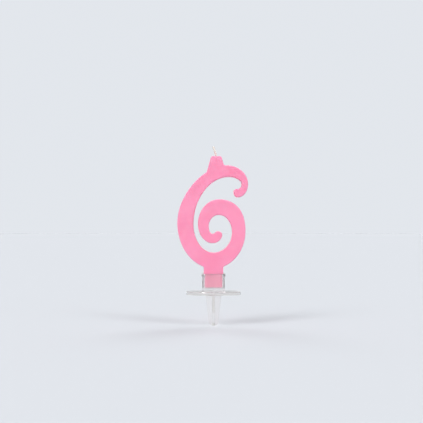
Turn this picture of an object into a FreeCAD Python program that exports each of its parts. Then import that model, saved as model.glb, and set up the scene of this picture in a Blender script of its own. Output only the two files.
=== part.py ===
"""Number candle, the digit 6: a cast wax numeral on a wick, standing in a clear plastic holder.

Frame: millimetres, +Z up, front face towards -Y, +X to the right as the digit is read.
Origin: the middle of the drip plate's underside, which is where the cake's surface comes.
"""
import FreeCAD
import Part
import Sketcher
import math
import os

from FreeCAD import Placement, Rotation, Vector

# Driving sizes. Every one can be changed by itself.
SIZES = {
    # wax numeral
    "digit_width": 44.6,  # outline, left edge of the bowl to the tip of the arm
    "digit_height": 73.8,  # from the holder's rim to the flat top of the stub
    "wax_thickness": 11.0,
    "wax_edge_radius": 0.7,  # softened front and back edges
    "neck_width": 12.4,  # foot of the digit, above the holder's rim
    "neck_fillet": 1.5,
    "stub_top_width": 6.5,  # pouring stub that the wick leaves by
    "stub_root_width": 12.8,
    "stub_corner_radius": 1.0,
    "stub_root_fillet": 1.5,
    "shoulder_step": 0.6,  # the tang is this much smaller than the neck on every side
    "tang_length": 8.5,
    "tang_corner_radius": 1.2,
    "tang_end_chamfer": 0.6,
    # wick
    "wick_diameter": 1.5,
    "wick_free_length": 6.4,  # height of the tip above the stub
    "wick_clearance": 0.03,  # radial, between the wick and its channel in the wax
    # holder: socket
    "socket_clearance": 0.25,  # between the tang and the socket wall, all round
    "grip_gap": 0.05,  # between the tang and the crests of the grip ribs
    "grip_rib_width": 0.8,
    "grip_rib_spacing": 3.8,
    "tang_end_gap": 0.5,  # below the tang
    "socket_wall": 1.2,
    "socket_floor": 3.0,  # plate's upper face to the bottom of the socket
    "socket_corner_radius": 2.4,
    "rim_bead_height": 1.6,
    "rim_bead_reach": 0.45,
    # holder: drip plate
    "plate_thickness": 1.2,
    "plate_side_reach": 10.0,  # beyond the socket, to each side
    "plate_front_reach": 2.9,  # beyond the socket, to the front and to the back
    "lip_height": 0.8,
    "lip_width": 0.9,
    "foot_fillet": 1.6,
    "foot_gap": 0.2,  # flat strip left between the foot's fillet and the lip
    # holder: spike
    "spike_length": 19.6,
    "spike_rib_thickness": 1.8,
    "spike_root_width": 10.0,
    "spike_tip_width": 6.0,
    "cross_root_width": 7.0,
    "cross_tip_width": 4.4,
    "spike_tip_drop": 1.8,  # height of the rounded tip
    "spike_root_fillet": 0.8,
    "spike_edge_radius": 0.35,  # along the tapered sides
}

# The digit is drawn in this box and then takes digit_width and digit_height.
DRAWN_WIDTH = 44.6
DRAWN_HEIGHT = 73.8

# Outline of the digit, anticlockwise from the bottom of the bowl. Each row is a point where the
# outline runs level or upright: x from the neck's middle, height above the neck's foot, the way
# the outline runs there, and how full the bend that leads to it is (0.55 is a quarter ellipse).
ROUND = 0.552
DIGIT_TURNS = [
    (20.2, 27.0, "upright", ROUND),  # bowl, right side
    (3.4, 46.8, "level", 0.63),  # bowl, top
    (-9.8, 31.2, "upright", ROUND),  # inside the left stroke, up the curl's back
    (-0.6, 19.15, "level", ROUND),  # underside of the curl
    (5.5, 24.6, "upright", ROUND),  # tip of the curl
    (2.8, 26.65, "level", ROUND),
    (-0.6, 25.1, "level", 0.5),  # hollow of the curl
    (-3.0, 29.6, "upright", ROUND),
    (3.3, 36.9, "level", ROUND),  # eye of the bowl, top
    (11.6, 26.0, "upright", ROUND),
    (0.0, 13.2, "level", ROUND),  # eye of the bowl, bottom
    (-12.6, 31.0, "upright", ROUND),  # inner edge of the left stroke
    (9.6, 60.75, "level", 0.535),  # underside of the arm
    (17.6, 56.0, "upright", ROUND),
    (15.4, 53.35, "level", ROUND),  # hook at the end of the arm
    (14.4, 53.35, "level", 0.33),
    (12.5, 51.2, "upright", ROUND),
    (15.2, 47.9, "level", ROUND),
    (21.8, 56.2, "upright", ROUND),  # outer edge of the arm
    (8.5, 68.1, "level", ROUND),
    (-22.8, 32.0, "upright", 0.48),  # left stroke, outer edge
    (0.0, 3.4, "level", ROUND),  # bowl, bottom
]
NECK_TOP = 6.0  # inside the bowl's wax
STUB_MIDDLE = 1.75
STUB_ROOT = 63.0  # inside the arm's wax

# Wick, from its tip down through the stub and round the left stroke into the bowl, as x and
# height in the same drawing. The tip itself stands wick_free_length above the stub.
WICK_TIP_LEAN = -0.2
WICK_ROUTE = [
    (1.6, 75.4),
    (1.5, 71.0),
    (-0.8, 65.0),
    (-6.4, 58.4),
    (-12.4, 50.6),
    (-16.2, 41.0),
    (-17.6, 30.6),
    (-15.6, 20.6),
    (-10.2, 12.8),
    (-2.4, 8.8),
]
WICK_BEND = 0.45  # part of the shorter run that each bend takes up

doc = FreeCAD.newDocument("NumberCandle")
sheet = doc.addObject("Spreadsheet::Sheet", "Sizes")
for row, (alias, value) in enumerate(SIZES.items(), start=1):
    sheet.set(f"A{row}", alias)
    sheet.set(f"B{row}", str(value))
    sheet.setAlias(f"B{row}", alias)
doc.recompute()

# Sizes that follow from the driving ones, written once.
TANG_WIDTH = "(Sizes.neck_width - 2 * Sizes.shoulder_step)"
TANG_DEPTH = "(Sizes.wax_thickness - 2 * Sizes.shoulder_step)"
BORE_WIDTH = f"({TANG_WIDTH} + 2 * Sizes.socket_clearance)"
BORE_DEPTH = f"({TANG_DEPTH} + 2 * Sizes.socket_clearance)"
BORE_LENGTH = "(Sizes.tang_length + Sizes.tang_end_gap)"
SOCKET_HEIGHT = f"({BORE_LENGTH} + Sizes.socket_floor)"
SOCKET_WIDTH = f"({BORE_WIDTH} + 2 * Sizes.socket_wall)"
SOCKET_DEPTH = f"({BORE_DEPTH} + 2 * Sizes.socket_wall)"
PLATE_LENGTH = f"({SOCKET_WIDTH} + 2 * Sizes.plate_side_reach)"
PLATE_DEPTH = f"({SOCKET_DEPTH} + 2 * Sizes.plate_front_reach)"
RIM = f"(Sizes.plate_thickness + {SOCKET_HEIGHT})"
RIB_PROUD = "(Sizes.socket_clearance - Sizes.grip_gap)"
BEAD_WIDTH = f"({SOCKET_WIDTH} + 2 * Sizes.rim_bead_reach)"
BEAD_DEPTH = f"({SOCKET_DEPTH} + 2 * Sizes.rim_bead_reach)"
BEAD_EDGE = "(Sizes.rim_bead_reach * 0.8)"  # rounds most of the bead's step
SPIKE_SIDE_END = "(Sizes.spike_tip_drop - Sizes.spike_length)"
FOOT = "min(Sizes.foot_fillet; Sizes.plate_front_reach - Sizes.lip_width - Sizes.foot_gap)"

# How near an edge lies to the place that it is picked by.
CLOSE = 1e-4
NEAR = 0.01


def across(x):
    """Expression for a place drawn x from the neck's middle."""
    return f"Sizes.digit_width * {x} / {DRAWN_WIDTH}"


def above(z):
    """Expression for a height drawn z above the neck's foot."""
    return f"Sizes.digit_height * {z} / {DRAWN_HEIGHT}"


def size(expression):
    """The present value of an expression in the sheet's sizes."""
    return float(sheet.evalExpression(expression))


def new_body(label):
    body = doc.addObject("PartDesign::Body", label)
    body.Label = label
    return body


def new_sketch(body, name, plane, lift=None):
    """A sketch on one of the body's own origin planes, moved along its normal by lift."""
    sketch = body.newObject("Sketcher::SketchObject", name)
    face = [one for one in body.Origin.OriginFeatures if one.Role == plane][0]
    sketch.AttachmentSupport = [(face, "")]
    sketch.MapMode = "FlatFace"
    if lift:
        sketch.setExpression("AttachmentOffset.Base.z", lift)
    return sketch


def tie(sketch, kind, geometry, point, expression):
    """Hold a point at a distance from the sketch's origin, along x or along y."""
    index = sketch.addConstraint(Sketcher.Constraint(kind, -1, 1, geometry, point, size(expression)))
    sketch.setExpression(f"Constraints[{index}]", expression)


def polygon(sketch, corners, bowed=None, bow=None):
    """A closed outline of straight lines. Each corner is a pair of expressions.

    The side numbered bowed, drawn level from left to right, is an arc that sags by bow.
    """
    places = [Vector(size(x), size(y), 0) for x, y in corners]
    count = len(places)
    first = sketch.GeometryCount
    for i in range(count):
        start, end = places[i], places[(i + 1) % count]
        side = Part.LineSegment(start, end)
        if i == bowed:
            side = Part.Arc(start, (start + end) / 2 - Vector(0, size(bow), 0), end)
        sketch.addGeometry(side, False)
    if bowed is not None:
        half_chord = f"(({corners[bowed + 1][0]}) - ({corners[bowed][0]})) / 2"
        radius = f"({half_chord} * {half_chord} + {bow} * {bow}) / (2 * {bow})"
        index = sketch.addConstraint(Sketcher.Constraint("Radius", first + bowed, size(radius)))
        sketch.setExpression(f"Constraints[{index}]", radius)
    for i in range(count):
        following = first + (i + 1) % count
        sketch.addConstraint(Sketcher.Constraint("Coincident", first + i, 2, following, 1))
    for i, (x, y) in enumerate(corners):
        tie(sketch, "DistanceX", first + i, 1, x)
        tie(sketch, "DistanceY", first + i, 1, y)


def rectangle(sketch, width, depth, middle_x="0", middle_y="0"):
    left = f"{middle_x} - {width} / 2"
    right = f"{middle_x} + {width} / 2"
    low = f"{middle_y} - {depth} / 2"
    high = f"{middle_y} + {depth} / 2"
    polygon(sketch, [(left, low), (right, low), (right, high), (left, high)])


def stadium(sketch, length, depth):
    """Two straight sides and two half-round ends, about the sketch's origin."""
    radius = size(depth) / 2
    reach = size(length) / 2 - radius
    first = sketch.GeometryCount
    right_arc = Part.ArcOfCircle(Part.Circle(Vector(reach, 0, 0), Vector(0, 0, 1), radius),
                                 -math.pi / 2, math.pi / 2)
    left_arc = Part.ArcOfCircle(Part.Circle(Vector(-reach, 0, 0), Vector(0, 0, 1), radius),
                                math.pi / 2, 3 * math.pi / 2)
    sketch.addGeometry(right_arc, False)
    sketch.addGeometry(Part.LineSegment(Vector(reach, radius, 0), Vector(-reach, radius, 0)), False)
    sketch.addGeometry(left_arc, False)
    sketch.addGeometry(Part.LineSegment(Vector(-reach, -radius, 0), Vector(reach, -radius, 0)), False)
    for i in range(4):
        following = first + (i + 1) % 4
        sketch.addConstraint(Sketcher.Constraint("Tangent", first + i, 2, following, 1))
    sketch.addConstraint(Sketcher.Constraint("Horizontal", first + 1))
    tie(sketch, "DistanceX", first, 3, f"({length} - {depth}) / 2")
    tie(sketch, "DistanceX", first + 2, 3, f"({depth} - {length}) / 2")
    sketch.addConstraint(Sketcher.Constraint("PointOnObject", first, 3, -1))
    radius_index = sketch.addConstraint(Sketcher.Constraint("Radius", first, radius))
    sketch.setExpression(f"Constraints[{radius_index}]", f"{depth} / 2")


def pad(body, name, sketch, length, middle=False, down=False):
    feature = body.newObject("PartDesign::Pad", name)
    feature.Profile = sketch
    feature.SideType = "Symmetric" if middle else "One side"
    feature.Reversed = down
    feature.setExpression("Length", length)
    sketch.Visibility = False
    return feature


def round_edges(body, name, radius, wanted, kind="PartDesign::Fillet"):
    """Fillet or chamfer the edges of the body's tip that wanted(edge) picks."""
    doc.recompute()
    base = body.Tip
    names = [f"Edge{i}" for i, edge in enumerate(base.Shape.Edges, start=1) if wanted(edge)]
    if not names:
        raise RuntimeError(f"{name}: no edge found")
    feature = body.newObject(kind, name)
    feature.Base = (base, names)
    feature.setExpression("Radius" if kind.endswith("Fillet") else "Size", radius)
    return feature


def runs_along(edge, axis):
    """True for a straight edge along the axis 0, 1 or 2."""
    ends = [vertex.Point for vertex in edge.Vertexes]
    if len(ends) != 2:
        return False
    run = ends[1] - ends[0]
    return abs(run[axis]) > edge.Length - CLOSE


def lies_at(edge, axis, place):
    """True for an edge in the plane where the axis coordinate is place."""
    box = edge.BoundBox
    low = (box.XMin, box.YMin, box.ZMin)[axis]
    high = (box.XMax, box.YMax, box.ZMax)[axis]
    return abs(low - place) < NEAR and abs(high - place) < NEAR


def digit_outline(sketch):
    """The smooth outline: one cubic bend from each turning point to the next."""
    turns = [DIGIT_TURNS[-1]] + DIGIT_TURNS
    bends = []
    for start, end in zip(turns[:-1], turns[1:]):
        run_x, run_z, fullness = end[0] - start[0], end[1] - start[1], end[3]
        leave = (fullness * run_x, 0) if start[2] == "level" else (0, fullness * run_z)
        arrive = (fullness * run_x, 0) if end[2] == "level" else (0, fullness * run_z)
        bends.append([(start[0], start[1]), (start[0] + leave[0], start[1] + leave[1]),
                      (end[0] - arrive[0], end[1] - arrive[1]), (end[0], end[1])])
    for bend in bends:
        poles = [Vector(size(across(x)), size(above(z)), 0) for x, z in bend]
        curve = Part.BSplineCurve(poles, [4, 4], [0, 1], False, 3, [1, 1, 1, 1], False)
        sketch.addGeometry(curve, False)
    joins = [Sketcher.Constraint("Coincident", i, 2, (i + 1) % len(bends), 1)
             for i in range(len(bends))]
    sketch.addConstraint(joins)
    for i, bend in enumerate(bends):
        first_pole = sketch.GeometryCount
        sketch.exposeInternalGeometry(i)
        for place, (x, z) in enumerate(bend[1:3], start=1):
            tie(sketch, "DistanceX", first_pole + place, 3, across(x))
            tie(sketch, "DistanceY", first_pole + place, 3, above(z))
        tie(sketch, "DistanceX", i, 2, across(bend[3][0]))
        tie(sketch, "DistanceY", i, 2, above(bend[3][1]))


def wax_numeral(channel):
    """The casting: digit, neck, stub and the tang that goes into the holder."""
    body = new_body("wax_casting")
    outline = new_sketch(body, "DigitOutline", "XZ_Plane")
    digit_outline(outline)
    pad(body, "Digit", outline, "Sizes.wax_thickness", middle=True)

    neck = new_sketch(body, "NeckOutline", "XZ_Plane")
    rectangle(neck, "Sizes.neck_width", above(NECK_TOP), middle_y=f"{above(NECK_TOP)} / 2")
    pad(body, "Neck", neck, "Sizes.wax_thickness", middle=True)

    stub = new_sketch(body, "StubOutline", "XZ_Plane")
    middle = across(STUB_MIDDLE)
    polygon(stub, [
        (f"{middle} - Sizes.stub_root_width / 2", above(STUB_ROOT)),
        (f"{middle} + Sizes.stub_root_width / 2", above(STUB_ROOT)),
        (f"{middle} + Sizes.stub_top_width / 2", "Sizes.digit_height"),
        (f"{middle} - Sizes.stub_top_width / 2", "Sizes.digit_height"),
    ])
    pad(body, "Stub", stub, "Sizes.wax_thickness", middle=True)

    top, foot = size("Sizes.digit_height"), size(above(NECK_TOP))
    waist = size("Sizes.neck_width") / 2
    round_edges(body, "NeckFillet", "Sizes.neck_fillet",
                lambda edge: runs_along(edge, 1) and CLOSE < edge.BoundBox.ZMin < foot
                and abs(abs(edge.BoundBox.XMin) - waist) < NEAR)
    round_edges(body, "StubRootFillet", "Sizes.stub_root_fillet",
                lambda edge: runs_along(edge, 1)
                and size(above(STUB_ROOT)) < edge.BoundBox.ZMin < top - CLOSE
                and is_stub_root(edge))
    round_edges(body, "StubCorners", "Sizes.stub_corner_radius",
                lambda edge: runs_along(edge, 1) and lies_at(edge, 2, top))

    face = size("Sizes.wax_thickness") / 2
    round_edges(body, "SoftEdges", "Sizes.wax_edge_radius",
                lambda edge: (lies_at(edge, 1, face) or lies_at(edge, 1, -face))
                and not lies_at(edge, 2, 0))

    tang = new_sketch(body, "TangOutline", "XY_Plane")
    rectangle(tang, TANG_WIDTH, TANG_DEPTH)
    pad(body, "Tang", tang, "Sizes.tang_length", down=True)
    tip = -size("Sizes.tang_length")
    round_edges(body, "TangCorners", "Sizes.tang_corner_radius",
                lambda edge: runs_along(edge, 2) and abs(edge.BoundBox.ZMin - tip) < NEAR)
    round_edges(body, "TangChamfer", "Sizes.tang_end_chamfer",
                lambda edge: lies_at(edge, 2, tip), kind="PartDesign::Chamfer")

    numeral = doc.addObject("Part::Cut", "wax_numeral")
    numeral.Label = "wax_numeral"
    numeral.Base = body
    numeral.Tool = channel
    numeral.setExpression("Placement.Base.z", RIM)
    return numeral


def is_stub_root(edge):
    """True where a side of the stub meets the arm: neither on the digit's own bends."""
    slope = (size("Sizes.stub_root_width") - size("Sizes.stub_top_width")) / 2
    rise = size("Sizes.digit_height") - size(above(STUB_ROOT))
    up = edge.BoundBox.ZMin - size(above(STUB_ROOT))
    half = size("Sizes.stub_root_width") / 2 - slope * up / rise
    return abs(abs(edge.BoundBox.XMin - size(across(STUB_MIDDLE))) - half) < NEAR


def wick_path():
    """Straight runs joined by tangent arcs, in the middle plane of the wax."""
    tip_height = size("Sizes.digit_height") + size("Sizes.wick_free_length")
    points = [Vector(size(across(WICK_TIP_LEAN)), 0, tip_height)]
    points += [Vector(size(across(x)), 0, size(above(z))) for x, z in WICK_ROUTE]
    edges = []
    reached = points[0]
    for before, corner, after in zip(points[:-2], points[1:-1], points[2:]):
        arriving, leaving = corner - before, after - corner
        half_turn = arriving.getAngle(leaving) / 2
        cut_back = WICK_BEND * min(arriving.Length, leaving.Length)
        radius = cut_back / math.tan(half_turn)
        start = corner - arriving.normalize() * cut_back
        end = corner + leaving.normalize() * cut_back
        inward = (leaving - arriving).normalize()
        through = corner + inward * (radius / math.cos(half_turn) - radius)
        edges.append(Part.LineSegment(reached, start).toShape())
        edges.append(Part.Arc(start, through, end).toShape())
        reached = end
        print(f"wick bend radius {radius:.1f} mm, {math.degrees(2 * half_turn):.0f} degrees")
    edges.append(Part.LineSegment(reached, points[-1]).toShape())
    path = doc.addObject("Part::Feature", "WickPath")
    path.Shape = Part.Wire(edges)
    return path


def swept_round(name, path, radius):
    """A round bar along the path."""
    start = path.Shape.Edges[0]
    ring = doc.addObject("Part::Circle", f"{name}Section")
    ring.setExpression("Radius", radius)
    along = start.tangentAt(start.FirstParameter)
    ring.Placement = Placement(start.valueAt(start.FirstParameter), Rotation(Vector(0, 0, 1), along))
    bar = doc.addObject("Part::Sweep", name)
    bar.Sections = [ring]
    bar.Spine = (path, [f"Edge{i}" for i in range(1, len(path.Shape.Edges) + 1)])
    bar.Solid = True
    bar.Frenet = False
    return bar


def wick(path):
    """The wick itself, at the same height as the wax."""
    bar = swept_round("wick", path, "Sizes.wick_diameter / 2")
    bar.Label = "wick"
    bar.setExpression("Placement.Base.z", RIM)
    return bar


def spike_rib(body, name, plane, root_width, tip_width):
    """One tapered rib of the spike, from the plate's underside to the rounded tip."""
    sketch = new_sketch(body, f"{name}Outline", plane)
    polygon(sketch, [
        (f"-{root_width} / 2", "Sizes.plate_thickness / 2"),
        (f"-{root_width} / 2", "0"),
        (f"-{tip_width} / 2", SPIKE_SIDE_END),
        (f"{tip_width} / 2", SPIKE_SIDE_END),
        (f"{root_width} / 2", "0"),
        (f"{root_width} / 2", "Sizes.plate_thickness / 2"),
    ], bowed=2, bow="Sizes.spike_tip_drop")
    pad(body, name, sketch, "Sizes.spike_rib_thickness", middle=True)


def holder():
    """One clear moulding: drip plate, socket and the cross-shaped spike."""
    body = new_body("holder")
    plate_top, rim = "Sizes.plate_thickness", RIM

    plate = new_sketch(body, "PlateOutline", "XY_Plane")
    stadium(plate, PLATE_LENGTH, PLATE_DEPTH)
    pad(body, "Plate", plate, plate_top)
    lip = new_sketch(body, "LipOutline", "XY_Plane", lift=plate_top)
    stadium(lip, PLATE_LENGTH, PLATE_DEPTH)
    stadium(lip, f"({PLATE_LENGTH} - 2 * Sizes.lip_width)", f"({PLATE_DEPTH} - 2 * Sizes.lip_width)")
    pad(body, "Lip", lip, "Sizes.lip_height")

    socket = new_sketch(body, "SocketOutline", "XY_Plane", lift=plate_top)
    rectangle(socket, SOCKET_WIDTH, SOCKET_DEPTH)
    pad(body, "Socket", socket, SOCKET_HEIGHT)
    low, high = size(plate_top), size(rim)
    round_edges(body, "SocketCorners", "Sizes.socket_corner_radius",
                lambda edge: runs_along(edge, 2) and abs(edge.BoundBox.ZMax - high) < NEAR)

    bead = new_sketch(body, "BeadOutline", "XY_Plane", lift=f"{rim} - Sizes.rim_bead_height")
    rectangle(bead, BEAD_WIDTH, BEAD_DEPTH)
    pad(body, "RimBead", bead, "Sizes.rim_bead_height")
    bead_low = high - size("Sizes.rim_bead_height")
    half_width, half_depth = size(BEAD_WIDTH) / 2, size(BEAD_DEPTH) / 2
    round_edges(body, "BeadCorners", "Sizes.socket_corner_radius + Sizes.rim_bead_reach",
                lambda edge: runs_along(edge, 2) and abs(abs(edge.BoundBox.XMin) - half_width) < NEAR)
    round_edges(body, "BeadEdges", BEAD_EDGE,
                lambda edge: lies_at(edge, 2, high)
                or (lies_at(edge, 2, bead_low) and is_outermost(edge, half_width, half_depth)))
    round_edges(body, "FootFillet", FOOT,
                lambda edge: lies_at(edge, 2, low)
                and is_within(edge, size(SOCKET_WIDTH) / 2, size(SOCKET_DEPTH) / 2))

    bore = new_sketch(body, "BoreOutline", "XY_Plane", lift=rim)
    rectangle(bore, BORE_WIDTH, BORE_DEPTH)
    cut = body.newObject("PartDesign::Pocket", "Bore")
    cut.Profile = bore
    cut.setExpression("Length", BORE_LENGTH)
    bore.Visibility = False
    floor = high - size(BORE_LENGTH)
    round_edges(body, "BoreCorners", "Sizes.tang_corner_radius + Sizes.socket_clearance",
                lambda edge: runs_along(edge, 2) and abs(edge.BoundBox.ZMin - floor) < NEAR)
    grip_ribs(body, rim)

    spike_rib(body, "SpikeRib", "XZ_Plane", "Sizes.spike_root_width", "Sizes.spike_tip_width")
    spike_rib(body, "CrossRib", "YZ_Plane", "Sizes.cross_root_width", "Sizes.cross_tip_width")
    side_end = size(SPIKE_SIDE_END)
    round_edges(body, "SpikeEdges", "Sizes.spike_edge_radius",
                lambda edge: abs(edge.BoundBox.ZMin - side_end) < NEAR
                and abs(edge.BoundBox.ZMax) < NEAR)
    half_root, half_cross = size("Sizes.spike_root_width") / 2, size("Sizes.cross_root_width") / 2
    round_edges(body, "SpikeRoot", "Sizes.spike_root_fillet",
                lambda edge: lies_at(edge, 2, 0) and is_within(edge, half_root, half_cross))
    return body


def grip_ribs(body, rim):
    """Low upright ribs inside the socket that the tang is pushed down between."""
    ribs = new_sketch(body, "GripRibOutline", "XY_Plane", lift=f"{rim} - {BORE_LENGTH}")
    sunk = "Sizes.socket_wall / 3"
    reach = f"({RIB_PROUD} + {sunk})"
    for side in ("1", "-1"):
        wall_y = f"{side} * ({BORE_DEPTH} / 2 + {sunk} - {reach} / 2)"
        wall_x = f"{side} * ({BORE_WIDTH} / 2 + {sunk} - {reach} / 2)"
        for place in ("0.5", "-0.5"):
            rectangle(ribs, "Sizes.grip_rib_width", reach,
                      middle_x=f"{place} * Sizes.grip_rib_spacing", middle_y=wall_y)
        rectangle(ribs, reach, "Sizes.grip_rib_width", middle_x=wall_x)
    pad(body, "GripRibs", ribs, f"{BORE_LENGTH} - Sizes.tang_end_chamfer")


def is_within(edge, half_x, half_y):
    """True for an edge no farther from the Z axis than the two half sizes."""
    box = edge.BoundBox
    reach_x = max(abs(box.XMin), abs(box.XMax))
    reach_y = max(abs(box.YMin), abs(box.YMax))
    return reach_x < half_x + NEAR and reach_y < half_y + NEAR


def is_outermost(edge, half_x, half_y):
    """True for an edge on the outline of a rounded rectangle with these half sizes."""
    box = edge.BoundBox
    reach_x = max(abs(box.XMin), abs(box.XMax))
    reach_y = max(abs(box.YMin), abs(box.YMax))
    return reach_x > half_x - NEAR or reach_y > half_y - NEAR


def check(parts):
    """Stop if any object failed or a piece isn't one sound solid."""
    for item in doc.Objects:
        if "Invalid" in item.State or "Error" in item.State:
            raise RuntimeError(f"{item.Name} failed: {item.State}")
    for piece in parts:
        shape = piece.Shape
        if shape.isNull() or not shape.isValid() or len(shape.Solids) != 1:
            raise RuntimeError(f"{piece.Label} isn't one sound solid")


route = wick_path()
channel = swept_round("WickChannel", route, "Sizes.wick_diameter / 2 + Sizes.wick_clearance")
pieces = [wax_numeral(channel), wick(route), holder()]
doc.recompute()
check(pieces)

os.makedirs("parts", exist_ok=True)
for piece in pieces:
    piece.Shape.exportStep(f"parts/{piece.Label}.step")
    box = piece.Shape.BoundBox
    print(f"{piece.Label}: {box.XLength:.2f} x {box.YLength:.2f} x {box.ZLength:.2f} mm, "
          f"z {box.ZMin:.2f} to {box.ZMax:.2f}, {piece.Shape.Volume:.0f} mm3")
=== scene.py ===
import bpy
import math
import random
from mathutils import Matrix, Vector, kdtree, noise


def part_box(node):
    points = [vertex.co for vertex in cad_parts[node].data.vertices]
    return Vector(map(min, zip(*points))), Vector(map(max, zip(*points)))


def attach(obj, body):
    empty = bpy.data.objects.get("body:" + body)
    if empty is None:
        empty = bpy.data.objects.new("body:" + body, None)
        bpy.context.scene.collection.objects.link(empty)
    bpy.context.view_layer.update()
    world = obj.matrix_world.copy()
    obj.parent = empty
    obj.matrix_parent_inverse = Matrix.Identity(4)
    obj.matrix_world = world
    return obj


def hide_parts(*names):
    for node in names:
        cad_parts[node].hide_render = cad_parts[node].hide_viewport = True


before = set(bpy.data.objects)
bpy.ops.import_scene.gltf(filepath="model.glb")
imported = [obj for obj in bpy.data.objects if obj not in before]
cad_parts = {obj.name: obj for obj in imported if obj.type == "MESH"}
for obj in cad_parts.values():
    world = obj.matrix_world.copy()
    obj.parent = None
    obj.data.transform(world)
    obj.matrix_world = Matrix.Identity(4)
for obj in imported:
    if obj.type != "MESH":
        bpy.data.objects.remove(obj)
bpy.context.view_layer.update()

mm = 0.001
touch = 0.02 * mm  # two heights nearer than this are one
holderLow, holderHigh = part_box("holder")
waxLow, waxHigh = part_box("wax_numeral")
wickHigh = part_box("wick")[1]
rimHeight = holderHigh.z  # the digit's neck stands on the socket's rim here
waxHalf = waxHigh.y  # half the wax's thickness
print("frame loaded, rim at", round(rimHeight / mm, 2), "mm")


def clearSelection():
    if bpy.context.object and bpy.context.object.mode != "OBJECT":
        bpy.ops.object.mode_set(mode="OBJECT")
    bpy.ops.object.select_all(action="DESELECT")


def useOnly(piece):
    clearSelection()
    piece.select_set(True)
    bpy.context.view_layer.objects.active = piece


def editOnly(piece, mode):
    useOnly(piece)
    bpy.ops.object.mode_set(mode="EDIT")
    bpy.ops.mesh.select_mode(type=mode)
    bpy.ops.mesh.select_all(action="DESELECT")


def pick(piece, kind, wanted):
    # select the edges or faces for which wanted(mesh, item) is true, and nothing else
    bpy.ops.object.mode_set(mode="OBJECT")
    mesh = piece.data
    for group in (mesh.vertices, mesh.edges, mesh.polygons):
        for item in group:
            item.select = False
    for item in mesh.edges if kind == "EDGE" else mesh.polygons:
        item.select = wanted(mesh, item)
    bpy.ops.object.mode_set(mode="EDIT")
    bpy.ops.mesh.select_mode(type=kind)


def near(a, b, within=touch):
    return abs(a - b) < within


def smoothStep(low, high, value):
    t = min(1.0, max(0.0, (value - low) / (high - low)))
    return t * t * (3 - 2 * t)


def addNode(tree, kind, settings=None, **inputs):
    # an underscore in an input's name stands for a space in the socket's
    node = tree.nodes.new(kind)
    for key, value in (settings or {}).items():
        setattr(node, key, value)
    for key, value in inputs.items():
        node.inputs[key.replace("_", " ")].default_value = value
    return node


def reckon(tree, operation, *values):
    # one Math node, fed by numbers and by other nodes' outputs
    node = addNode(tree, "ShaderNodeMath", {"operation": operation})
    for socket, value in zip(node.inputs, values):
        if isinstance(value, (int, float)):
            socket.default_value = value
        else:
            tree.links.new(value, socket)
    return node.outputs[0]


def newGroup(name, inputs, outputs):
    group = bpy.data.node_groups.new(name, "ShaderNodeTree")
    for label, kind, value in inputs:
        socket = group.interface.new_socket(label, in_out="INPUT", socket_type=kind)
        if value is not None:
            socket.default_value = value
    for label, kind in outputs:
        group.interface.new_socket(label, in_out="OUTPUT", socket_type=kind)
    return group, group.nodes.new("NodeGroupInput"), group.nodes.new("NodeGroupOutput")


def makeWander():
    # cloudy noise over a surface, as a value between Low and High
    group, start, end = newGroup("wander", [
        ("Vector", "NodeSocketVector", None), ("Scale", "NodeSocketFloat", 100.0),
        ("Detail", "NodeSocketFloat", 3.0), ("Low", "NodeSocketFloat", 0.0),
        ("High", "NodeSocketFloat", 1.0)], [("Value", "NodeSocketFloat")])
    cloud = addNode(group, "ShaderNodeTexNoise", Roughness=0.55)
    stretch = addNode(group, "ShaderNodeMapRange", From_Min=0.32, From_Max=0.68)
    group.links.new(start.outputs["Vector"], cloud.inputs["Vector"])
    group.links.new(start.outputs["Scale"], cloud.inputs["Scale"])
    group.links.new(start.outputs["Detail"], cloud.inputs["Detail"])
    group.links.new(cloud.outputs["Fac"], stretch.inputs["Value"])
    group.links.new(start.outputs["Low"], stretch.inputs["To Min"])
    group.links.new(start.outputs["High"], stretch.inputs["To Max"])
    group.links.new(stretch.outputs["Result"], end.inputs["Value"])
    return group


def makeSpecks():
    # small round marks, scattered: 1 in a mark, 0 outside
    group, start, end = newGroup("specks", [
        ("Vector", "NodeSocketVector", None), ("Scale", "NodeSocketFloat", 600.0),
        ("Size", "NodeSocketFloat", 0.12), ("Share", "NodeSocketFloat", 0.3)],
        [("Mask", "NodeSocketFloat")])
    cells = addNode(group, "ShaderNodeTexVoronoi", {"feature": "F1"})
    edge = addNode(group, "ShaderNodeMapRange", {"interpolation_type": "SMOOTHSTEP"},
                   From_Min=0.0, To_Min=1.0, To_Max=0.0)
    split = addNode(group, "ShaderNodeSeparateColor")
    group.links.new(start.outputs["Vector"], cells.inputs["Vector"])
    group.links.new(start.outputs["Scale"], cells.inputs["Scale"])
    group.links.new(cells.outputs["Distance"], edge.inputs["Value"])
    group.links.new(start.outputs["Size"], edge.inputs["From Max"])
    group.links.new(cells.outputs["Color"], split.inputs["Color"])
    chosen = reckon(group, "LESS_THAN", split.outputs["Red"], start.outputs["Share"])
    mask = reckon(group, "MULTIPLY", edge.outputs["Result"], chosen)
    group.links.new(mask, end.inputs["Mask"])
    return group


wander = makeWander()
specks = makeSpecks()


def useGroup(tree, group, vector, **inputs):
    node = addNode(tree, "ShaderNodeGroup", {"node_tree": group}, **inputs)
    tree.links.new(vector, node.inputs["Vector"])
    return node.outputs[0]


def newMaterial(name):
    material = bpy.data.materials.new(name)
    material.use_nodes = True
    tree = material.node_tree
    return material, tree, tree.nodes["Principled BSDF"]


def placeOn(tree):
    return addNode(tree, "ShaderNodeTexCoord").outputs["Object"]


def mixColours(tree, mask, first, second):
    # first where the mask is 0, second where it is 1; each is a colour or a node's output
    mix = addNode(tree, "ShaderNodeMix", {"data_type": "RGBA"})
    factor, firstColour, secondColour = mix.inputs[0], mix.inputs[6], mix.inputs[7]
    for socket, colour in ((firstColour, first), (secondColour, second)):
        if isinstance(colour, tuple):
            socket.default_value = (*colour, 1)
        else:
            tree.links.new(colour, socket)
    tree.links.new(mask, factor)
    return mix.outputs[2]  # the colour output


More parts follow.
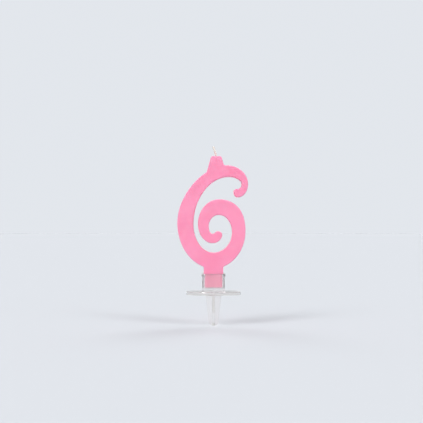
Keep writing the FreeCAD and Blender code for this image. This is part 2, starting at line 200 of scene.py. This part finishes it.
def chooseBy(tree, ray, otherwise, chosen):
    # one shader for that kind of ray, and another for all the rest
    sight = addNode(tree, "ShaderNodeLightPath")
    choose = addNode(tree, "ShaderNodeMixShader")
    tree.links.new(sight.outputs[ray], choose.inputs[0])
    tree.links.new(otherwise, choose.inputs[1])
    tree.links.new(chosen, choose.inputs[2])
    return choose.outputs[0]


def addBump(tree, shader, layers):
    # layers are (height output, distance in metres, strength), stacked one on the next
    normal = None
    for height, distance, strength in layers:
        bump = addNode(tree, "ShaderNodeBump", Strength=strength, Distance=distance)
        tree.links.new(height, bump.inputs["Height"])
        if normal:
            tree.links.new(normal, bump.inputs["Normal"])
        normal = bump.outputs["Normal"]
    tree.links.new(normal, shader.inputs["Normal"])


numeral = {
    # the outline as drawn, in millimetres
    "drawnWidth": 44.6,
    "drawnHeight": 73.8,
    # x, height above the rim, how the outline runs there, fullness of the bend that leads to it
    "turns": [
        (0.0, 3.4, "level", 0.552), (20.2, 27.0, "upright", 0.552), (3.4, 46.8, "level", 0.63),
        (-9.8, 31.2, "upright", 0.552), (-0.6, 19.15, "level", 0.552), (5.5, 24.6, "upright", 0.552),
        (2.8, 26.65, "level", 0.552), (-0.6, 25.1, "level", 0.5), (-3.0, 29.6, "upright", 0.552),
        (3.3, 36.9, "level", 0.552), (11.6, 26.0, "upright", 0.552), (0.0, 13.2, "level", 0.552),
        (-12.6, 31.0, "upright", 0.552), (9.6, 60.75, "level", 0.535), (17.6, 56.0, "upright", 0.552),
        (15.4, 53.35, "level", 0.552), (14.4, 53.35, "level", 0.33), (12.5, 51.2, "upright", 0.552),
        (15.2, 47.9, "level", 0.552), (21.8, 56.2, "upright", 0.552), (8.5, 68.1, "level", 0.552),
        (-22.8, 32.0, "upright", 0.48), (0.0, 3.4, "level", 0.552)],
    "neckWidth": 12.4,
    "neckRound": 1.5,
    "stubMiddle": 1.75,
    "stubTop": 6.5,
    "stubRoot": 12.8,
    "stubRootHeight": 63.0,
    "stubRound": 1.5,
    "stubCorner": 1.0,
    "stepLength": 0.55,  # along the outline
    "shortestStep": 0.15,
    "fewestSteps": 4,  # in one bend
    "chordSteps": 8,  # for measuring a bend
    "roundSteps": 6,  # in one rounded corner
    # from here on in metres
    "shoulder": 0.6 * mm,
    "tangCorner": 1.2 * mm,
    "tangChamfer": 0.6 * mm,
    "edgeRadius": 0.7 * mm,
    # slices, so that the faces can take a cast surface: finer at the seam and round the wick
    "sliceStep": 1.3 * mm,
    "seamSlices": (-1, -0.5, 0, 0.5, 1),  # in widths of the seam
    "wallSlice": 2.2 * mm,  # each side of the middle
    "mouthSlices": (0.8 * mm, 1.1 * mm, 1.5 * mm),
    "mouthInner": 0.4 * mm,
    "mouthBand": 1.2 * mm,  # the stretch of wick, up and down, that tells where it comes out
    "weld": 0.004 * mm,
    "band": 0.05 * mm,  # how near the rim or the top a point still belongs to it
    # the mould's seam and draft, and how the poured wax draws in
    "seamWidth": 0.22 * mm,
    "seamProud": 0.07 * mm,
    "draft": 0.10 * mm,
    "plainFoot": 3 * mm,  # stretch above the rim in which seam and draft fade in
    "sink": 0.13 * mm,
    "sinkReach": 4.5 * mm,
    "lumps": 0.05 * mm,
    "lumpScale": 140,
    "lumpReach": 2 * mm,
    "wallLumps": 0.4,  # share of the lumps on the side walls
    # the stub's top: a hollow, with wax that climbs the wick
    "hollow": 0.18 * mm,
    "hollowFloor": 1.2 * mm,  # deepest as far out as this
    "hollowReach": 3.2 * mm,
    "topDrop": 0.02 * mm,
    "collar": 0.35 * mm,
    "collarStart": 0.75 * mm,
    "collarReach": 0.7 * mm,
    "collarFall": 2.2,
    # colours and gloss
    "deepPink": (0.965, 0.278, 0.452),
    "softPink": (0.985, 0.316, 0.500),
    "bloomPink": (1.0, 0.46, 0.60),
    # painted shade for the hollow pits: its colour, and below, how strongly it darkens them
    "pitShadePink": (0.80, 0.17, 0.33),
    "bloomMost": 0.30,
    "pitShadeStrength": 0.35,
    "roughLow": 0.34,
    "roughHigh": 0.50,
    "lightDepth": 2.2 * mm,  # how far light runs in the wax
}


def bendAt(bend, t):
    a, b, c, d = bend
    u = 1 - t
    return a * u ** 3 + b * (3 * u * u * t) + c * (3 * u * t * t) + d * t ** 3


def makeBends():
    bends = []
    turns = numeral["turns"]
    for start, end in zip(turns[:-1], turns[1:]):
        a, d = Vector(start[:2]), Vector(end[:2])
        run, fullness = d - a, end[3]
        leave = Vector((run.x, 0)) if start[2] == "level" else Vector((0, run.y))
        arrive = Vector((run.x, 0)) if end[2] == "level" else Vector((0, run.y))
        bends.append((a, a + leave * fullness, d - arrive * fullness, d))
    return bends


def pointsOn(bend, first, last, count):
    return [bendAt(bend, first + (last - first) * i / count) for i in range(count + 1)]


def followBend(bend, first=0.0, last=1.0):
    # evenly shared points, as many as the bend's length asks for
    chords = pointsOn(bend, first, last, numeral["chordSteps"])
    length = sum((b - a).length for a, b in zip(chords[:-1], chords[1:]))
    count = max(numeral["fewestSteps"], round(length / numeral["stepLength"]))
    return pointsOn(bend, first, last, count)


def whereOn(bend, side):
    # the share of the bend at which side(point) changes sign, found by halving
    low, high = 0.0, 1.0
    halvings = 50
    lowSign = side(bendAt(bend, low)) > 0
    for _ in range(halvings):
        middle = (low + high) / 2
        if (side(bendAt(bend, middle)) > 0) == lowSign:
            low = middle
        else:
            high = middle
    return low


def trimmed(points, reach):
    # the line with its first stretch of that length taken off
    left = reach
    for i in range(len(points) - 1):
        run = points[i + 1] - points[i]
        if run.length > left:
            start = points[i] + run * (left / run.length)
            rest = points[i + 1:]
            if (rest[0] - start).length < numeral["shortestStep"] and len(rest) > 1:
                rest = rest[1:]
            return [start] + rest
        left -= run.length
    return points[-1:]


def roundJoin(first, second, radius):
    # both lines shortened, and the corner between them drawn as a bend
    corner = second[0]
    arriving, leaving = first[-1] - first[-2], second[1] - second[0]
    reach = radius * math.tan(arriving.angle(leaving) / 2)
    first = trimmed(first[::-1], reach)[::-1]
    second = trimmed(second, reach)
    a, d = first[-1], second[0]
    steps = numeral["roundSteps"]
    for i in range(1, steps):
        t = i / steps
        first.append(a * (1 - t) ** 2 + corner * (2 * t * (1 - t)) + d * t * t)
    return first + second


def drawOutline():
    bends = makeBends()
    half = numeral["neckWidth"] / 2
    height = numeral["drawnHeight"]
    middle, topHalf = numeral["stubMiddle"], numeral["stubTop"] / 2
    flare = (numeral["stubRoot"] - numeral["stubTop"]) / 2 / (height - numeral["stubRootHeight"])

    def stubHalf(z):
        return topHalf + (height - z) * flare

    # where the neck and the stub leave the digit
    neckRight = whereOn(bends[0], lambda p: p.x - half)
    neckLeft = whereOn(bends[-1], lambda p: p.x + half)
    stubRight = whereOn(bends[-2], lambda p: p.x - middle - stubHalf(p.y))
    stubLeft = whereOn(bends[-2], lambda p: p.x - middle + stubHalf(p.y))

    digit = followBend(bends[0], first=neckRight)
    for bend in bends[1:-2]:
        digit += followBend(bend)[1:]
    digit += followBend(bends[-2], last=stubRight)[1:]
    leftStroke = followBend(bends[-2], first=stubLeft) + followBend(bends[-1], last=neckLeft)[1:]

    footRight, footLeft = Vector((half, 0)), Vector((-half, 0))
    topRight, topLeft = Vector((middle + topHalf, height)), Vector((middle - topHalf, height))
    line = roundJoin([footRight, digit[0]], digit, numeral["neckRound"])
    line = roundJoin(line, [digit[-1], topRight], numeral["stubRound"])
    line = roundJoin(line, [topRight, topLeft], numeral["stubCorner"])
    line = roundJoin(line, [topLeft, leftStroke[0]], numeral["stubCorner"])
    line = roundJoin(line, leftStroke, numeral["stubRound"])
    line = roundJoin(line, [leftStroke[-1], footLeft], numeral["neckRound"])
    scaleX = (waxHigh.x - waxLow.x) / numeral["drawnWidth"]
    scaleZ = (waxHigh.z - rimHeight) / height
    return [Vector((p.x * scaleX, 0, rimHeight + p.y * scaleZ)) for p in line]


def endsOf(mesh, edge):
    return [mesh.vertices[index].co for index in edge.vertices]


def isNeckFoot(mesh, face):
    return face.normal.z < -0.9 and near(face.center.z, rimHeight)


def isTangUpright(mesh, edge):
    a, b = endsOf(mesh, edge)
    return not near(a.z, b.z) and max(a.z, b.z) < rimHeight + touch


def isTangFoot(mesh, edge):
    return all(near(end.z, waxLow.z) for end in endsOf(mesh, edge))


def isFaceRim(mesh, edge):
    # round the front or the back face, but not on the foot that stands on the holder
    a, b = endsOf(mesh, edge)
    onRim = near(a.z, rimHeight) and near(b.z, rimHeight)
    return near(abs(a.y), waxHalf) and near(a.y, b.y) and not onRim


def makeNumeral():
    outline = drawOutline()
    clearSelection()
    bpy.ops.mesh.primitive_circle_add(vertices=len(outline), radius=waxHigh.x, fill_type="NGON")
    piece = bpy.context.object
    piece.name = "waxNumeral"
    for vertex, place in zip(piece.data.vertices, outline):
        vertex.co = (place.x, -waxHalf, place.z)

    editOnly(piece, "FACE")
    bpy.ops.mesh.select_all(action="SELECT")
    bpy.ops.mesh.extrude_region_move(TRANSFORM_OT_translate={"value": (0, 2 * waxHalf, 0)})
    bpy.ops.mesh.select_all(action="SELECT")
    bpy.ops.mesh.normals_make_consistent(inside=False)

    # tang: the neck's foot inset and pulled down into the holder
    pick(piece, "FACE", isNeckFoot)
    bpy.ops.mesh.inset(thickness=numeral["shoulder"])
    bpy.ops.mesh.extrude_region_move(TRANSFORM_OT_translate={"value": (0, 0, waxLow.z - rimHeight)})
    pick(piece, "EDGE", isTangUpright)
    bpy.ops.mesh.bevel(offset=numeral["tangCorner"], segments=6, affect="EDGES")
    pick(piece, "EDGE", isTangFoot)
    bpy.ops.mesh.bevel(offset=numeral["tangChamfer"], segments=2, affect="EDGES")

    # softened front and back edges
    pick(piece, "EDGE", isFaceRim)
    bpy.ops.mesh.bevel(offset=numeral["edgeRadius"], segments=5, affect="EDGES", clamp_overlap=False)

    mouth = wickMouth()
    sliceUp(mouth)
    bpy.ops.object.mode_set(mode="OBJECT")
    castSurface(piece, outline, mouth)
    useOnly(piece)
    bpy.ops.object.shade_smooth_by_angle(angle=math.radians(38))
    return piece


def spread(low, high, step):
    count = max(1, round((high - low) / step))
    return [low + (high - low) * (i + 0.5) / count for i in range(count)]


def bothSides(offsets):
    return [-offset for offset in reversed(offsets)] + list(offsets)


def sliceUp(mouth):
    # in edit mode: new edges where each plane crosses the mesh
    alongX, alongY, alongZ = (1, 0, 0), (0, 1, 0), (0, 0, 1)
    step, inner, wall = numeral["sliceStep"], numeral["mouthInner"], numeral["wallSlice"]
    fine = bothSides(numeral["mouthSlices"])
    atSeam = [numeral["seamWidth"] * share for share in numeral["seamSlices"]]
    cuts = [(x, alongX) for x in spread(waxLow.x, waxHigh.x, step)]
    cuts += [(z, alongZ) for z in spread(rimHeight, waxHigh.z, step)]
    cuts += [(y, alongY) for y in [-wall] + atSeam + [wall] + fine]
    cuts += [(mouth.x + x, alongX) for x in sorted(fine + [-inner, 0, inner])]
    for offset, way in cuts:
        bpy.ops.mesh.select_all(action="SELECT")
        bpy.ops.mesh.bisect(plane_co=Vector(way) * offset, plane_no=way)
    bpy.ops.mesh.select_all(action="SELECT")
    bpy.ops.mesh.remove_doubles(threshold=numeral["weld"])
    bpy.ops.mesh.select_all(action="SELECT")
    bpy.ops.mesh.normals_make_consistent(inside=False)


def wickMouth():
    # where the wick leaves the stub, from the CAD wick's own vertices
    ring = [vertex.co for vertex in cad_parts["wick"].data.vertices
            if near(vertex.co.z, waxHigh.z, numeral["mouthBand"])]
    return Vector((sum(place.x for place in ring) / len(ring), 0, waxHigh.z))


def castSurface(piece, outline, mouth):
    # poured wax: sunk a little in the wide places, a fine seam round the middle, a collar at the wick
    tree = kdtree.KDTree(len(outline))
    for i, place in enumerate(outline):
        tree.insert(place, i)
    tree.balance()
    moves = []
    for vertex in piece.data.vertices:
        move = Vector()
        if vertex.co.z > rimHeight + numeral["band"]:
            inside = tree.find(Vector((vertex.co.x, 0, vertex.co.z)))[2]
            move = -vertex.normal * shrinkAt(vertex.co, vertex.normal, inside)
        if near(vertex.co.z, mouth.z, numeral["band"]):
            reach = math.hypot(vertex.co.x - mouth.x, vertex.co.y)
            move = Vector((0, 0, topRise(reach)))
        moves.append(move)
    for vertex, move in zip(piece.data.vertices, moves):
        vertex.co += move


def shrinkAt(place, normal, inside):
    # how far the wax draws in, at that distance inside the outline
    lump = noise.noise(place * numeral["lumpScale"]) * 0.5 + 0.5
    flat = abs(normal.y)
    sink = numeral["sink"] * smoothStep(numeral["edgeRadius"], numeral["sinkReach"], inside)
    faceLumps = numeral["lumps"] * lump * smoothStep(0, numeral["lumpReach"], inside)
    # the side walls are fullest at the seam
    ridge = 1 - smoothStep(0, numeral["seamWidth"], abs(place.y))
    away = smoothStep(0, numeral["plainFoot"], place.z - rimHeight)
    wall = numeral["seamProud"] * (1 - ridge) + numeral["draft"] * abs(place.y) / waxHalf
    wall += numeral["wallLumps"] * numeral["lumps"] * lump
    return flat * (sink + faceLumps) + (1 - flat) * away * wall


def topRise(reach):
    # height of the stub's top against its flat form, at that distance from the wick's middle
    dish = numeral["hollow"] * (1 - smoothStep(numeral["hollowFloor"], numeral["hollowReach"], reach))
    past = max(0, reach - numeral["collarStart"])
    climb = numeral["collar"] * math.exp(-past / numeral["collarReach"] * numeral["collarFall"])
    return climb - dish - numeral["topDrop"]


def waxMaterial():
    material, tree, shader = newMaterial("pinkWax")
    place = placeOn(tree)
    drift = useGroup(tree, wander, place, Scale=55.0, Detail=2.0)
    fine = useGroup(tree, wander, place, Scale=900.0, Detail=4.0)
    pits = useGroup(tree, specks, place, Scale=420.0, Size=0.10, Share=0.10)
    cast = mixColours(tree, drift, numeral["deepPink"], numeral["softPink"])

    # a pale bloom in patches, and painted shade darkening the hollow pits
    cloudy = useGroup(tree, wander, place, Scale=260.0, Detail=5.0)
    patches = useGroup(tree, wander, place, Scale=38.0, Detail=1.0, High=numeral["bloomMost"])
    bloomed = mixColours(tree, reckon(tree, "MULTIPLY", cloudy, patches), cast, numeral["bloomPink"])
    # painted shade: the pits' hollows drawn darker
    pitShadeMask = reckon(tree, "MULTIPLY", pits, numeral["pitShadeStrength"])
    tree.links.new(mixColours(tree, pitShadeMask, bloomed, numeral["pitShadePink"]), shader.inputs["Base Color"])

    gloss = useGroup(tree, wander, place, Scale=220.0, Detail=3.0,
                     Low=numeral["roughLow"], High=numeral["roughHigh"])
    tree.links.new(gloss, shader.inputs["Roughness"])
    shader.inputs["IOR"].default_value = 1.44
    shader.inputs["Subsurface Weight"].default_value = 0.35
    shader.inputs["Subsurface Radius"].default_value = (1.0, 0.45, 0.55)
    shader.inputs["Subsurface Scale"].default_value = numeral["lightDepth"]
    hollow = reckon(tree, "MULTIPLY", pits, -1.0)
    addBump(tree, shader, [(drift, 0.30 * mm, 0.35), (fine, 0.02 * mm, 0.35), (hollow, 0.08 * mm, 0.5)])
    return material


wick = {
    # the route in millimetres: x and height above the rim, from the tip into the bowl
    "route": [(-0.2, 80.2), (1.6, 75.4), (1.5, 71.0), (-0.8, 65.0), (-6.4, 58.4), (-12.4, 50.6),
              (-16.2, 41.0), (-17.6, 30.6), (-15.6, 20.6), (-10.2, 12.8), (-2.4, 8.8)],
    "strands": 8,
    "strandRadius": 0.235 * mm,
    "braidRadius": 0.44 * mm,
    "weave": 0.085 * mm,  # how far a strand goes over and under the others
    "lay": 4.4 * mm,  # length along the wick of one turn of a strand
    "samplesPerTurn": 26,
    "coreRadius": 0.42 * mm,
    "coreSteps": 90,
    "tipTrim": 0.55 * mm,  # the strands' cut ends stand above the line's end
    # loose fibres at the cut end: where they start, how far out, how long, how far they lean
    "fuzz": 34,
    "fuzzSeed": 6,
    "fuzzRadius": 0.022 * mm,
    "fuzzDepth": (0.1, 0.7),
    "fuzzOut": (0.1, 0.55),
    "fuzzLength": (0.15, 0.42),
    "fuzzLean": (0.2, 0.7),
    "fuzzMiddle": (0.5, 0.25),  # how far up and out a fibre bends, as shares of its length
    "fuzzEnd": 0.3,  # and how much further up it ends
    "fuzzBelow": 0.02 * mm,  # kept under the wick's own height
    "shadedCotton": (0.80, 0.74, 0.66),
    "paleCotton": (0.93, 0.90, 0.84),
}


def addObject(name, data):
    piece = bpy.data.objects.new(name, data)
    bpy.context.scene.collection.objects.link(piece)
    return piece


def wickLine():
    # closely spaced points on the smooth line that the route makes, from the tip down
    curve = bpy.data.curves.new("wickLine", "CURVE")
    curve.dimensions = "3D"
    spline = curve.splines.new("NURBS")
    scaleX = (waxHigh.x - waxLow.x) / numeral["drawnWidth"]
    scaleZ = (waxHigh.z - rimHeight) / numeral["drawnHeight"]
    spline.points.add(len(wick["route"]) - 1)
    for point, (x, z) in zip(spline.points, wick["route"]):
        point.co = (x * scaleX, 0, rimHeight + z * scaleZ, 1)
    spline.points[0].co.z = wickHigh.z - wick["tipTrim"]
    spline.order_u = 3
    spline.use_endpoint_u = True
    curve.resolution_u = 60
    lineObject = addObject("wickLine", curve)
    bpy.context.view_layer.update()
    mesh = bpy.data.meshes.new_from_object(lineObject)
    points = [vertex.co.copy() for vertex in mesh.vertices]
    bpy.data.objects.remove(lineObject)
    bpy.data.meshes.remove(mesh)
    if points[0].z < points[-1].z:
        points.reverse()
    return points


def strandObject(name, points, radius):
    curve = bpy.data.curves.new(name, "CURVE")
    curve.dimensions = "3D"
    curve.bevel_depth = radius
    curve.bevel_resolution = 1
    curve.use_fill_caps = True
    spline = curve.splines.new("POLY")
    spline.points.add(len(points) - 1)
    for point, place in zip(spline.points, points):
        point.co = (*place, 1)
    return addObject(name, curve)


def braidStrands(along, total):
    # half of the strands turn one way and half the other, each over and under those it crosses
    rows = int(total / wick["lay"] * wick["samplesPerTurn"])
    each = wick["strands"] // 2
    sideways = Vector((0, 1, 0))
    strands = []
    for k in range(wick["strands"]):
        turn = 1 if k < each else -1
        phase = 2 * math.pi * (k % each) / each
        points = []
        for row in range(rows + 1):
            distance = total * row / rows
            centre, way = along(distance)
            across = way.cross(sideways).normalized()
            angle = phase + turn * 2 * math.pi * distance / wick["lay"]
            radius = wick["braidRadius"] + wick["weave"] * turn * math.cos(each * angle)
            points.append(centre + (across * math.cos(angle) + sideways * math.sin(angle)) * radius)
        strands.append(strandObject(f"strand{k}", points, wick["strandRadius"]))
    return strands


def looseFibres(along):
    random.seed(wick["fuzzSeed"])
    up = -along(0.0)[1]
    middleUp, middleOut = wick["fuzzMiddle"]
    ceiling = wickHigh.z - wick["fuzzBelow"]
    fibres = []
    for k in range(wick["fuzz"]):
        angle = random.uniform(0, 2 * math.pi)
        out = Vector((math.cos(angle), math.sin(angle), 0))
        start = along(random.uniform(*wick["fuzzDepth"]) * mm)[0]
        start += out * random.uniform(*wick["fuzzOut"]) * mm
        reach = random.uniform(*wick["fuzzLength"]) * mm
        middle = start + up * reach * middleUp + out * reach * middleOut
        end = middle + up * reach * wick["fuzzEnd"] + out * reach * random.uniform(*wick["fuzzLean"])
        end.z = min(end.z, ceiling)
        middle.z = min(middle.z, ceiling - wick["fuzzBelow"])
        fibres.append(strandObject(f"fuzz{k}", [start, middle, end], wick["fuzzRadius"]))
    return fibres


def makeWick():
    line = wickLine()
    lengths = [0.0]
    for a, b in zip(line[:-1], line[1:]):
        lengths.append(lengths[-1] + (b - a).length)
    total = lengths[-1]

    def along(distance):
        # place and direction at a distance from the tip
        distance = min(max(distance, 0.0), total)
        low, high = 0, len(lengths) - 1
        while high - low > 1:
            middle = (low + high) // 2
            if lengths[middle] <= distance:
                low = middle
            else:
                high = middle
        run = line[high] - line[low]
        share = (distance - lengths[low]) / max(1e-9, lengths[high] - lengths[low])
        return line[low] + run * share, run.normalized()

    strands = braidStrands(along, total)
    steps = wick["coreSteps"]
    core = [along(total * step / steps)[0] for step in range(steps + 1)]
    strands.append(strandObject("core", core, wick["coreRadius"]))
    strands += looseFibres(along)

    clearSelection()
    for strand in strands:
        strand.select_set(True)
    bpy.context.view_layer.objects.active = strands[0]
    bpy.ops.object.convert(target="MESH")
    bpy.ops.object.join()
    piece = bpy.context.object
    piece.name = "braidedWick"
    useOnly(piece)
    bpy.ops.object.shade_smooth()
    return piece


def wickMaterial():
    material, tree, shader = newMaterial("waxedCotton")
    place = placeOn(tree)
    yarn = addNode(tree, "ShaderNodeTexWave", {"bands_direction": "DIAGONAL"},
                   Scale=1500.0, Distortion=2.5, Detail=2.0, Detail_Scale=1.5)
    tree.links.new(place, yarn.inputs["Vector"])
    blot = useGroup(tree, wander, place, Scale=900.0, Detail=3.0)
    cotton = mixColours(tree, blot, wick["shadedCotton"], wick["paleCotton"])
    tree.links.new(cotton, shader.inputs["Base Color"])
    dull = useGroup(tree, wander, place, Scale=700.0, Low=0.55, High=0.8)
    tree.links.new(dull, shader.inputs["Roughness"])
    shader.inputs["Sheen Weight"].default_value = 0.25
    addBump(tree, shader, [(yarn.outputs["Fac"], 0.02 * mm, 0.35), (blot, 0.02 * mm, 0.3)])
    return material


plastic = {
    "tint": (0.885, 0.865, 0.86),
    "tintClear": (0.935, 0.92, 0.915),
    "clarity": 0.93,  # the rest is a faint milkiness
    "lightThrough": (0.93, 0.925, 0.92, 1),  # what reaches the things behind it
    "flow": (1.0, 1.0, 0.35),  # ripples drawn out along the height
    "roughLow": 0.02,
    "roughHigh": 0.08,
}


def clearMaterial():
    material, tree, shader = newMaterial("clearPlastic")
    place = placeOn(tree)
    flow = addNode(tree, "ShaderNodeMapping", Scale=plastic["flow"])
    tree.links.new(place, flow.inputs["Vector"])
    ripple = useGroup(tree, wander, flow.outputs["Vector"], Scale=130.0, Detail=2.0)
    tint = mixColours(tree, ripple, plastic["tint"], plastic["tintClear"])
    tree.links.new(tint, shader.inputs["Base Color"])
    haze = useGroup(tree, wander, place, Scale=260.0, Detail=4.0,
                    Low=plastic["roughLow"], High=plastic["roughHigh"])
    tree.links.new(haze, shader.inputs["Roughness"])
    shader.inputs["IOR"].default_value = 1.585
    shader.inputs["Transmission Weight"].default_value = plastic["clarity"]
    addBump(tree, shader, [(ripple, 0.12 * mm, 0.25)])

    # light reaches what is behind the plastic
    clear = addNode(tree, "ShaderNodeBsdfTransparent", Color=plastic["lightThrough"])
    surface = chooseBy(tree, "Is Shadow Ray", shader.outputs[0], clear.outputs[0])
    tree.links.new(surface, tree.nodes["Material Output"].inputs["Surface"])
    return material


def dressPiece(piece, material):
    piece.data.materials.clear()
    piece.data.materials.append(material)


studio = {
    "viewWidth": 266.5 * mm,  # what the camera takes in at the digit's middle plane
    "viewCentre": (-1.26 * mm, 52.3 * mm),
    "distance": 0.70,
    "sensorWidth": 36.0,
    "nearest": 0.05,
    "farthest": 20.0,
    "floorRadius": 3.0,
    "floorSides": 96,
    "floorColour": (0.562, 0.581, 0.613),
    "backColour": (0.766, 0.797, 0.842),  # as the far floor comes out, so that no horizon shows
    "air": (0.66, 0.667, 0.675),  # light from all round
    # panels of light: azimuth and elevation in degrees, half width, half height, softness, strength
    "panels": [
        (-38, 50, 12, 22, 3, 6.5),
        (44, 46, 8, 20, 2, 5.6),
        (148, 50, 12, 18, 3, 4.0),
        (-150, 44, 8, 16, 2, 4.2),
        (0, 88, 40, 14, 10, 0.8),
    ],
    # dark screens that draw the edges of clear plastic
    "screens": [
        (-90, 8, 13, 26, 4, -0.58),
        (90, 8, 13, 26, 4, -0.58),
    ],
}


def panelGlow(tree, azimuth, elevation, panel):
    # a soft-edged rectangle in the sky, from the angles round and up
    turn, lift, halfWidth, halfHeight, softness, strength = panel
    turned = reckon(tree, "WRAP", reckon(tree, "SUBTRACT", azimuth, turn), 180, -180)
    lifted = reckon(tree, "SUBTRACT", elevation, lift)
    glow = strength
    for angle, half in ((turned, halfWidth), (lifted, halfHeight)):
        edge = addNode(tree, "ShaderNodeMapRange", {"interpolation_type": "SMOOTHSTEP"},
                       From_Min=half - softness / 2, From_Max=half + softness / 2,
                       To_Min=1.0, To_Max=0.0)
        tree.links.new(reckon(tree, "ABSOLUTE", angle), edge.inputs["Value"])
        glow = reckon(tree, "MULTIPLY", edge.outputs["Result"], glow)
    return glow


def makeSky():
    world = bpy.data.worlds.new("studioWorld")
    world.use_nodes = True
    tree = world.node_tree
    way = addNode(tree, "ShaderNodeSeparateXYZ")
    tree.links.new(addNode(tree, "ShaderNodeTexCoord").outputs["Generated"], way.inputs[0])
    x, y, z = way.outputs
    # azimuth 0 is in front of the digit, towards -Y, and grows towards +X
    fromFront = reckon(tree, "ARCTAN2", x, reckon(tree, "MULTIPLY", y, -1))
    azimuth = reckon(tree, "DEGREES", fromFront)
    elevation = reckon(tree, "DEGREES", reckon(tree, "ARCSINE", z))
    total = 0.0
    for panel in studio["panels"] + studio["screens"]:
        total = reckon(tree, "ADD", panelGlow(tree, azimuth, elevation, panel), total)
    lit = addNode(tree, "ShaderNodeVectorMath", {"operation": "ADD"})
    lit.inputs[1].default_value = studio["air"]
    tree.links.new(total, lit.inputs[0])
    light = addNode(tree, "ShaderNodeBackground")
    tree.links.new(lit.outputs[0], light.inputs["Color"])

    # the camera sees a plain backdrop, and every other ray meets the panels
    seen = tree.nodes["Background"]
    seen.inputs["Color"].default_value = (*studio["backColour"], 1)
    surface = chooseBy(tree, "Is Camera Ray", light.outputs[0], seen.outputs[0])
    tree.links.new(surface, tree.nodes["World Output"].inputs["Surface"])
    bpy.context.scene.world = world


def makeFloor():
    clearSelection()
    bpy.ops.mesh.primitive_circle_add(vertices=studio["floorSides"], radius=studio["floorRadius"],
                                      fill_type="NGON", location=(0, 0, holderLow.z))
    floor = bpy.context.object
    floor.name = "floor"
    paint, _, shader = newMaterial("paleFloor")
    shader.inputs["Base Color"].default_value = (*studio["floorColour"], 1)
    shader.inputs["Roughness"].default_value = 1.0
    shader.inputs["Specular IOR Level"].default_value = 0.0
    dressPiece(floor, paint)


def makeCamera():
    x, z = studio["viewCentre"]
    clearSelection()
    bpy.ops.object.camera_add(location=(x, -studio["distance"], z), rotation=(math.pi / 2, 0, 0))
    camera = bpy.context.object
    camera.data.sensor_width = studio["sensorWidth"]
    camera.data.lens = studio["sensorWidth"] * studio["distance"] / studio["viewWidth"]
    camera.data.clip_start = studio["nearest"]
    camera.data.clip_end = studio["farthest"]
    bpy.context.scene.camera = camera
    bpy.context.scene.view_settings.view_transform = "Standard"


waxPiece = makeNumeral()
dressPiece(waxPiece, waxMaterial())
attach(waxPiece, "candle")
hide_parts("wax_numeral")
print("wax numeral:", len(waxPiece.data.polygons), "faces")

wickPiece = makeWick()
dressPiece(wickPiece, wickMaterial())
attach(wickPiece, "candle")
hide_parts("wick")
print("wick:", len(wickPiece.data.polygons), "faces")

dressPiece(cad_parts["holder"], clearMaterial())
print("holder dressed")

makeFloor()
makeSky()
makeCamera()
print("studio ready")
